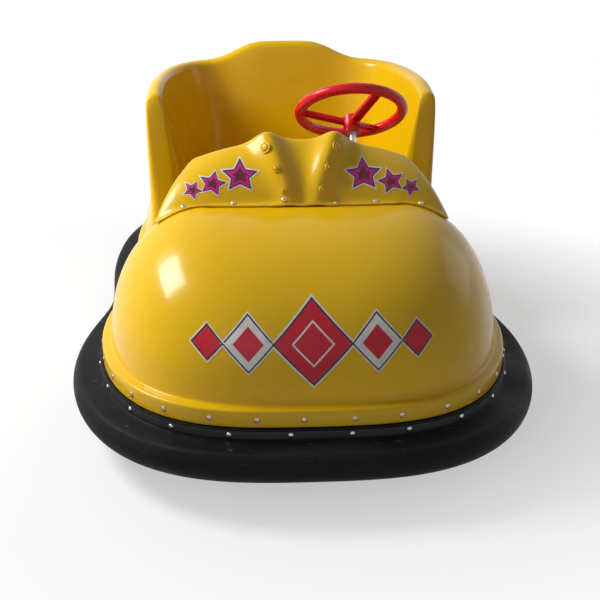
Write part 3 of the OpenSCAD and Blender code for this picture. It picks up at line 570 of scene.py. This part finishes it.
# Kick plates: galvanised sheet that closes the corner between each end of the toe board and the shell's sill.
# Each is sheared, folded outwards at its foot to lie on the floor sheet, and pop-riveted at its rear edge.
kick_thick, kick_gap, kick_foot, kick_lap = 0.002, 0.0008, 0.02, 0.012
kick_rivet_r, kick_rivet_tall, kick_rivet_hole, kick_rivet_edge = 0.005, 0.0025, 0.0018, 0.007
toe_low, toe_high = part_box("toe_board")
kick_front, kick_rear = toe_low.y - 0.004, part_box("rear_shell")[0].y + kick_lap
kick_tall, kick_short = toe_high.z + 0.022, toe_high.z - 0.038
kick_sole = floor_high.z + kick_gap
kick_rivet_places = []
for side, hand in ((-1, "right"), (1, "left")):
    inner = side * (toe_high.x + kick_gap)
    select_none()
    bpy.ops.mesh.primitive_plane_add(size=2)
    kick = added(f"kick_plate_{hand}")
    for vertex in kick.data.vertices:
        at_rear, at_top = vertex.co.x > 0, vertex.co.y > 0
        height = (kick_short if at_rear else kick_tall) if at_top else kick_sole
        vertex.co = (inner, kick_rear if at_rear else kick_front, height)
        vertex.select = not at_top
    for edge in kick.data.edges:
        edge.select = all(kick.data.vertices[k].select for k in edge.vertices)
    for polygon in kick.data.polygons:
        polygon.select = False
    bpy.ops.object.mode_set(mode="EDIT")
    bpy.ops.mesh.select_mode(type="EDGE")
    bpy.ops.mesh.extrude_region_move(TRANSFORM_OT_translate={"value": (side * kick_foot, 0, 0)})
    bpy.ops.mesh.select_all(action="SELECT")
    bpy.ops.mesh.normals_make_consistent()
    bpy.ops.object.mode_set(mode="OBJECT")
    looks_inward = side * kick.data.polygons[0].normal.x < 0
    wall = kick.modifiers.new("Wall", "SOLIDIFY")
    wall.thickness = kick_thick
    wall.offset = -1 if looks_inward else 1
    bpy.ops.object.modifier_apply(modifier="Wall")
    settle(kick, galvanised)
    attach(kick, "body")
    for share in (0.2, 0.8):
        height = floor_high.z + share * (kick_short - floor_high.z)
        spot = Vector((inner, kick_rear - kick_rivet_edge, height))
        kick_rivet_places.append(facing(spot, Vector((-side, 0, 0))))
kick_rivets = settle(copies(domed_head("kick_rivet", kick_rivet_r, kick_rivet_tall, kick_rivet_hole),
                            kick_rivet_places, "kick_rivets"), rivet_finish)
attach(kick_rivets, "body")

# Battery and pedal: a sealed battery in a dull moulded case, and a pressed pedal plate with moulded ribs.
# Both are black and stand where dust gathers, which greys them in patches.


def battery_plastic():
    material, tree, shader = new_material("battery_plastic", 0.45)
    mottled(tree, shader, 20, 5, (0.02, 0.02, 0.022), (0.06, 0.058, 0.055))
    relief(tree, shader, [(noise(tree, 300, 2), 0.0001)])
    return material


dress(["battery_block", "pedal"], battery_plastic())

# Turned steel: the driving unit's head plate and spindle, both sprockets, both axles and the steering shaft.
# They are turned from mild steel bar and left bare, under a film of oil that darkens them in patches.


def machined():
    material, tree, shader = new_material("machined_steel", 0.3, 1.0)
    mottled(tree, shader, 30, 4, (0.5, 0.5, 0.51), (0.34, 0.33, 0.31))
    return material


dress(["head_plate", "steer_sprocket", "shaft_sprocket", "drive_axle", "rear_axle", "steering_shaft"],
      machined())

# Gear case and rims: aluminium alloy, sand cast, with the sand's grain left on the skin.
# The case hangs in the fork beside the driving wheel, and each rim turns on its axle.


def cast_alloy():
    material, tree, shader = new_material("cast_alloy", 0.5, 1.0)
    mottled(tree, shader, 25, 5, (0.5, 0.5, 0.49), (0.3, 0.29, 0.27), 0.35, 0.7)
    relief(tree, shader, [(noise(tree, 380, 3), 0.0004)])
    return material


dress(["gear_case", "drive_rim", "rear_rim_left", "rear_rim_right"], cast_alloy())

# Motor: a closed electric motor in black baked enamel, flanged to the gear case.
# Grease and dust have dulled it in patches.


def motor_enamel():
    material, tree, shader = new_material("motor_enamel", 0.35)
    mottled(tree, shader, 18, 5, (0.015, 0.016, 0.018), (0.05, 0.048, 0.045))
    return material


dress(["motor"], motor_enamel())

# Tyres: solid black rubber, moulded onto the rims in a press.
# The track's dust greys them, and running on steel has roughened their skin.


def tyre_rubber():
    material, tree, shader = new_material("tyre_rubber", 0.7)
    mottled(tree, shader, 22, 6, (0.02, 0.02, 0.021), (0.06, 0.057, 0.053))
    relief(tree, shader, [(noise(tree, 350, 3), 0.0003)])
    return material


dress(["drive_tyre", "rear_tyre_left", "rear_tyre_right"], tyre_rubber())

# Chassis bolts: plated hexagon bolts with washers, which hold the bearing plate on its posts
# and the rear axle's clamps to the rails.
chassis_bolt_wide, chassis_bolt_tall = 0.017, 0.007
post_inset, clamp_inset, clamp_bolt_half = 0.025, 0.02, 0.025
plate_low, plate_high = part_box("bearing_plate")
clamp_low, clamp_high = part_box("axle_clamps")


def join(pieces, name):
    select_none()
    for piece in pieces:
        piece.select_set(True)
    bpy.context.view_layer.objects.active = pieces[0]
    bpy.ops.object.join()
    return added(name)


def bolt_head(name, across, height):
    """A hexagon bolt head with its washer on the XY plane."""
    washer_thick, washer_r, corner_r = 0.0016, 0.62 * across, 0.577 * across
    select_none()
    bpy.ops.mesh.primitive_cylinder_add(vertices=32, radius=washer_r, depth=washer_thick,
                                        location=(0, 0, washer_thick / 2))
    washer = added("washer")
    bpy.ops.mesh.primitive_cylinder_add(vertices=6, radius=corner_r, depth=height,
                                        location=(0, 0, washer_thick + height / 2))
    head = added(name)
    chamfer = head.modifiers.new("Chamfer", "BEVEL")
    chamfer.width = 0.0008
    chamfer.segments = 2
    bpy.ops.object.modifier_apply(modifier="Chamfer")
    return join([head, washer], name)


post_x, post_y = plate_high.x - post_inset, (plate_high.y - plate_low.y) / 2 - post_inset
plate_y = (plate_low.y + plate_high.y) / 2
clamp_x, clamp_y = clamp_high.x - clamp_inset, (clamp_low.y + clamp_high.y) / 2
upside_down = Matrix.Rotation(math.radians(180), 4, "X")
bolt_places = []
for side, end in ((-1, -1), (-1, 1), (1, -1), (1, 1)):
    bolt_places.append(Matrix.Translation((side * post_x, plate_y + end * post_y, plate_high.z)))
for side, end in ((-1, -1), (-1, 1), (1, -1), (1, 1)):
    under_clamp = Matrix.Translation((side * clamp_x, clamp_y + end * clamp_bolt_half, clamp_low.z))
    bolt_places.append(under_clamp @ upside_down)
bolts = settle(copies(bolt_head("chassis_bolt", chassis_bolt_wide, chassis_bolt_tall), bolt_places,
                      "chassis_bolts"), zinc_plate)
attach(bolts, "body")

# Rim bolts: four small plated bolts in the web of each wheel's rim, on its outer side.
# They turn with the wheel.
rim_bolt_wide, rim_bolt_tall, rim_web_half = 0.009, 0.004, 0.004
circle_share, circle_gap = 0.55, 0.003
for node, body, side in (("drive_rim", "drive_wheel", 1), ("rear_rim_left", "rear_wheel_left", 1),
                         ("rear_rim_right", "rear_wheel_right", -1)):
    rim_low, rim_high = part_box(node)
    middle = (rim_low + rim_high) / 2
    circle_r = circle_share * (rim_high.z - rim_low.z) / 2 + circle_gap
    outwards = Matrix.Rotation(math.radians(90 * side), 4, "Y")
    rim_places = []
    for degrees in (45, 135, 225, 315):
        turn = math.radians(degrees)
        spot = middle + Vector((side * rim_web_half, circle_r * math.cos(turn), circle_r * math.sin(turn)))
        rim_places.append(Matrix.Translation(spot) @ outwards)
    rim_bolts = settle(copies(bolt_head("rim_bolt", rim_bolt_wide, rim_bolt_tall), rim_places,
                              node + "_bolts"), zinc_plate)
    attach(rim_bolts, body)

# Steering wheel: a red plastic moulding over a steel core, with a round grip, a hub and three channel spokes.
# The spokes are open below. A plated nut under the hub clamps it on the shaft.
grip_thick, wheel_lean = 0.031, math.radians(38)
hub_r, hub_low, hub_high, hub_edge_r = 0.025, -0.072, -0.016, 0.003
spoke_wide, spoke_deep, spoke_drop, spoke_turns = 0.028, 0.012, 0.038, (180, 55, -63)
spoke_start, spoke_short, channel_wall, channel_deep, spoke_edge_r = 0.004, 0.016, 0.004, 0.009, 0.0018
wheel_nut_wide, wheel_nut_tall = 0.03, 0.012
wheel_low, wheel_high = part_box("steering_wheel")
grip_r = (wheel_high.x - wheel_low.x - grip_thick) / 2
on_shaft = Matrix.Translation((wheel_low + wheel_high) / 2) @ Matrix.Rotation(-wheel_lean, 4, "X")


def red_plastic():
    material, tree, shader = new_material("red_plastic", 0.25)
    shader.inputs["Specular IOR Level"].default_value = 0.3
    mottled(tree, shader, 20, 4, (0.68, 0.001, 0.002), (0.78, 0.003, 0.004), 0.35, 0.7)
    tree.links.new(spread(tree, noise(tree, 40, 4), 0.35, 0.7, 0.2, 0.34), shader.inputs["Roughness"])
    relief(tree, shader, [(noise(tree, 260, 2), 0.00008)])
    return material


select_none()
bpy.ops.mesh.primitive_torus_add(major_radius=grip_r, minor_radius=grip_thick / 2, major_segments=96,
                                 minor_segments=24)
wheel_parts = [added("grip")]
spoke_len = math.hypot(grip_r, spoke_drop)
for angle in spoke_turns:
    select_none()
    bpy.ops.mesh.primitive_cube_add(size=1)
    spoke = added("spoke")
    spoke.data.transform(Matrix.Diagonal((spoke_len - spoke_short, spoke_wide, spoke_deep, 1)))
    spoke.data.transform(Matrix.Translation((spoke_len / 2 + spoke_start, 0, 0)))
    bpy.ops.object.mode_set(mode="EDIT")
    bpy.ops.mesh.select_all(action="DESELECT")
    bpy.ops.object.mode_set(mode="OBJECT")
    for polygon in spoke.data.polygons:
        polygon.select = polygon.normal.z < -0.9
    bpy.ops.object.mode_set(mode="EDIT")
    bpy.ops.mesh.select_mode(type="FACE")
    bpy.ops.mesh.inset(thickness=channel_wall)
    bpy.ops.mesh.extrude_region_move(TRANSFORM_OT_translate={"value": (0, 0, channel_deep)})
    bpy.ops.object.mode_set(mode="OBJECT")
    soft = spoke.modifiers.new("Soft", "BEVEL")
    soft.width = spoke_edge_r
    soft.segments = 3
    bpy.ops.object.modifier_apply(modifier="Soft")
    rise = Matrix.Translation((0, 0, -spoke_drop)) @ Matrix.Rotation(-math.atan2(spoke_drop, grip_r), 4, "Y")
    spoke.data.transform(Matrix.Rotation(math.radians(angle), 4, "Z") @ rise)
    wheel_parts.append(spoke)
select_none()
bpy.ops.mesh.primitive_cylinder_add(vertices=48, radius=hub_r, depth=hub_high - hub_low,
                                    location=(0, 0, (hub_low + hub_high) / 2))
hub = added("hub")
bpy.ops.object.transform_apply(location=True, rotation=True, scale=True)
for polygon in hub.data.polygons:
    polygon.select = abs(polygon.normal.z) > 0.9
bpy.ops.object.mode_set(mode="EDIT")
bpy.ops.mesh.select_mode(type="FACE")
bpy.ops.mesh.bevel(offset=hub_edge_r, segments=3, affect="EDGES")
bpy.ops.object.mode_set(mode="OBJECT")
wheel_parts.append(hub)
wheel = join(wheel_parts, "steering_wheel_moulding")
wheel.data.transform(on_shaft)
select_only(wheel)
bpy.ops.object.shade_smooth_by_angle(angle=math.radians(40))
settle(wheel, red_plastic())
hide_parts("steering_wheel")
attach(wheel, "steering")

wheel_nut = bolt_head("wheel_nut", wheel_nut_wide, wheel_nut_tall)
wheel_nut.data.transform(on_shaft @ Matrix.Translation((0, 0, hub_low)) @ upside_down)
settle(wheel_nut, zinc_plate)
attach(wheel_nut, "steering")

# Stickers: printed vinyl, cut out with a white border and smoothed onto the gelcoat.
# A row of lozenges runs across the nose, and three stars of falling size lie on each half of the cowl.
film_thick, film_lift, film_cut, film_start_y = 0.0003, 0.0007, 0.011, -1.2


def vinyl(name, colour):
    material, tree, shader = new_material(name, 0.3)
    shader.inputs["Specular IOR Level"].default_value = 0.3
    mottled(tree, shader, 30, 4, tuple(0.82 * part for part in colour), colour, 0.35, 0.7)
    tree.links.new(spread(tree, noise(tree, 60, 3), 0.3, 0.7, 0.24, 0.38), shader.inputs["Roughness"])
    return material


def sticker(name, corners, waist, size, place, target, bands, turn=0.0):
    """A lozenge or star with inset bands of colour, laid onto a moulding straight from the front."""
    select_none()
    bpy.ops.mesh.primitive_circle_add(vertices=corners, radius=0.5, fill_type="NGON")
    piece = added(name)
    for index, vertex in enumerate(piece.data.vertices):
        if index % 2:
            vertex.co *= waist
    piece.data.transform(Matrix.Diagonal((*size, 1, 1)) @ Matrix.Rotation(math.radians(turn), 4, "Z"))
    for material, _ in bands:
        piece.data.materials.append(material)
    bpy.ops.object.mode_set(mode="EDIT")
    bpy.ops.mesh.select_all(action="SELECT")
    for index, (_, inward) in enumerate(bands):
        piece.active_material_index = index
        bpy.ops.object.material_slot_assign()
        if inward:
            bpy.ops.mesh.inset(thickness=inward)
    bpy.ops.mesh.select_all(action="SELECT")
    bpy.ops.mesh.quads_convert_to_tris()
    for way, reach in (((1, 0, 0), size[0] / 2), ((0, 1, 0), size[1] / 2)):
        for k in range(-int(reach / film_cut), int(reach / film_cut) + 1):
            bpy.ops.mesh.select_all(action="SELECT")
            bpy.ops.mesh.bisect(plane_co=k * film_cut * Vector(way), plane_no=way)
    bpy.ops.object.mode_set(mode="OBJECT")
    upright = Matrix.Rotation(math.radians(90), 4, "X")
    piece.data.transform(Matrix.Translation((place[0], film_start_y, place[1])) @ upright)
    laid = piece.modifiers.new("Laid", "SHRINKWRAP")
    laid.wrap_method = "PROJECT"
    laid.wrap_mode = "ABOVE_SURFACE"
    laid.use_project_y = True
    laid.offset = film_lift
    laid.target = target
    bpy.ops.object.modifier_apply(modifier="Laid")
    film = piece.modifiers.new("Film", "SOLIDIFY")
    film.thickness = film_thick
    bpy.ops.object.modifier_apply(modifier="Film")
    bpy.ops.object.shade_smooth_by_angle(angle=math.radians(30))
    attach(piece, "body")


vinyl_black = vinyl("vinyl_black", (0.012, 0.01, 0.012))
vinyl_white = vinyl("vinyl_white", (0.8, 0.79, 0.77))
vinyl_red = vinyl("vinyl_red", (0.62, 0.008, 0.03))
vinyl_magenta = vinyl("vinyl_magenta", (0.62, 0.01, 0.28))
vinyl_maroon = vinyl("vinyl_maroon", (0.12, 0.012, 0.02))

lozenge_line = 0.375
border = [(vinyl_white, 0.003), (vinyl_black, 0.0035)]
large_bands = [(vinyl_white, 0.004), (vinyl_black, 0.004), (vinyl_red, 0.026), (vinyl_white, 0.004),
               (vinyl_red, 0)]
middle_bands = border + [(vinyl_white, 0.014), (vinyl_red, 0)]
small_bands = border + [(vinyl_red, 0)]
nose_row = ((0.0, (0.2, 0.19), large_bands), (-0.15, (0.13, 0.13), middle_bands),
            (0.15, (0.13, 0.13), middle_bands), (-0.245, (0.085, 0.085), small_bands),
            (0.245, (0.085, 0.085), small_bands))
for number, (x, size, bands) in enumerate(nose_row, 1):
    sticker(f"nose_lozenge_{number}", 4, 1.0, size, (x, lozenge_line), nose, bands)

star_waist, star_tall_share, star_turn = 0.5, 0.74, 12
border_share, magenta_share = 0.026, 0.055
cowl_row = ((0.162, 0.652, 0.115), (0.234, 0.635, 0.086), (0.286, 0.62, 0.062))
for side, hand in ((-1, "right"), (1, "left")):
    for index, (x, z, wide) in enumerate(cowl_row):
        bands = [(vinyl_white, border_share * wide), (vinyl_black, border_share * wide),
                 (vinyl_magenta, magenta_share * wide), (vinyl_maroon, 0)]
        sticker(f"cowl_star_{index + 1}_{hand}", 10, star_waist, (wide, star_tall_share * wide),
                (side * x, z), cowl, bands, star_turn * side * index)

# Studio: a sheet of white paper on the floor and a white surround, with soft lamps and the camera.
# Camera and mirror rays see the paper and the surround as plain white, and the car keeps its shadow.
select_none()
bpy.ops.mesh.primitive_circle_add(vertices=96, radius=9, fill_type="NGON")
studio_floor = added("studio_floor")


def looked_at(tree):
    """One where a ray comes from the camera, a mirror or glass, and nought where it carries light."""
    path = tree.nodes.new("ShaderNodeLightPath")
    total = path.outputs["Is Camera Ray"]
    for kind in ("Is Glossy Ray", "Is Transmission Ray"):
        both = tree.nodes.new("ShaderNodeMath")
        both.operation = "MAXIMUM"
        tree.links.new(total, both.inputs[0])
        tree.links.new(path.outputs[kind], both.inputs[1])
        total = both.outputs[0]
    return total


def floor_paper():
    fade_start, fade_end, least_white = 0.8, 1.6, 0.5
    material, tree, shader = new_material("floor_paper", 0.9)
    shader.inputs["Base Color"].default_value = (0.86, 0.86, 0.86, 1)
    place = tree.nodes.new("ShaderNodeTexCoord")
    reach = tree.nodes.new("ShaderNodeVectorMath")
    reach.operation = "LENGTH"
    tree.links.new(place.outputs["Object"], reach.inputs[0])
    far = spread(tree, reach.outputs["Value"], fade_start, fade_end, least_white, 1.0)
    seen = tree.nodes.new("ShaderNodeMath")
    seen.operation = "MULTIPLY"
    tree.links.new(far, seen.inputs[0])
    tree.links.new(looked_at(tree), seen.inputs[1])
    white = tree.nodes.new("ShaderNodeEmission")
    blend = tree.nodes.new("ShaderNodeMixShader")
    tree.links.new(seen.outputs[0], blend.inputs["Fac"])
    tree.links.new(shader.outputs[0], blend.inputs[1])
    tree.links.new(white.outputs[0], blend.inputs[2])
    tree.links.new(blend.outputs[0], tree.nodes["Material Output"].inputs["Surface"])
    return material


studio_floor.data.materials.append(floor_paper())

world = bpy.data.worlds.new("studio")
bpy.context.scene.world = world
world.use_nodes = True
surround = world.node_tree
sky = surround.nodes["Background"]
sky.inputs["Strength"].default_value = 0.11
sky.inputs["Color"].default_value = (1, 1, 1, 1)
white_sky = surround.nodes.new("ShaderNodeBackground")
white_sky.inputs["Color"].default_value = (1, 1, 1, 1)
sky_mix = surround.nodes.new("ShaderNodeMixShader")
surround.links.new(looked_at(surround), sky_mix.inputs["Fac"])
surround.links.new(sky.outputs[0], sky_mix.inputs[1])
surround.links.new(white_sky.outputs[0], sky_mix.inputs[2])
surround.links.new(sky_mix.outputs[0], surround.nodes["World Output"].inputs["Surface"])


def soft_lamp(name, place, target, size, watts):
    light = bpy.data.lights.new(name, "AREA")
    light.shape = "RECTANGLE"
    light.size, light.size_y = size
    light.energy = watts
    lamp = bpy.data.objects.new(name, light)
    lamp.location = place
    lamp.rotation_euler = (Vector(target) - Vector(place)).to_track_quat("-Z", "Y").to_euler()
    bpy.context.collection.objects.link(lamp)


soft_lamp("key_lamp", (-2.45, 0.15, 2.55), (0, 0, 0.5), (1.3, 1.1), 126)
soft_lamp("front_lamp", (-1.0, -3.2, 2.0), (0, -0.3, 0.4), (2.0, 1.6), 7)
soft_lamp("right_lamp", (2.9, 1.0, 1.6), (0, 0.1, 0.4), (1.6, 1.6), 9)

camera = bpy.data.objects.new("camera", bpy.data.cameras.new("camera"))
bpy.context.collection.objects.link(camera)
bpy.context.scene.camera = camera
aim, distance = Vector((0, 0, 0.4)), 3.3
azimuth, elevation = math.radians(-3), math.radians(18)
level = Vector((math.sin(azimuth), -math.cos(azimuth), 0))
away = math.cos(elevation) * level + Vector((0, 0, math.sin(elevation)))
camera.location = aim + distance * away
camera.rotation_euler = (-away).to_track_quat("-Z", "Y").to_euler()
camera.data.sensor_width = 36
camera.data.lens = 65.6
camera.data.shift_x = 0.0092
camera.data.shift_y = -0.129
bpy.context.scene.view_settings.view_transform = "Standard"
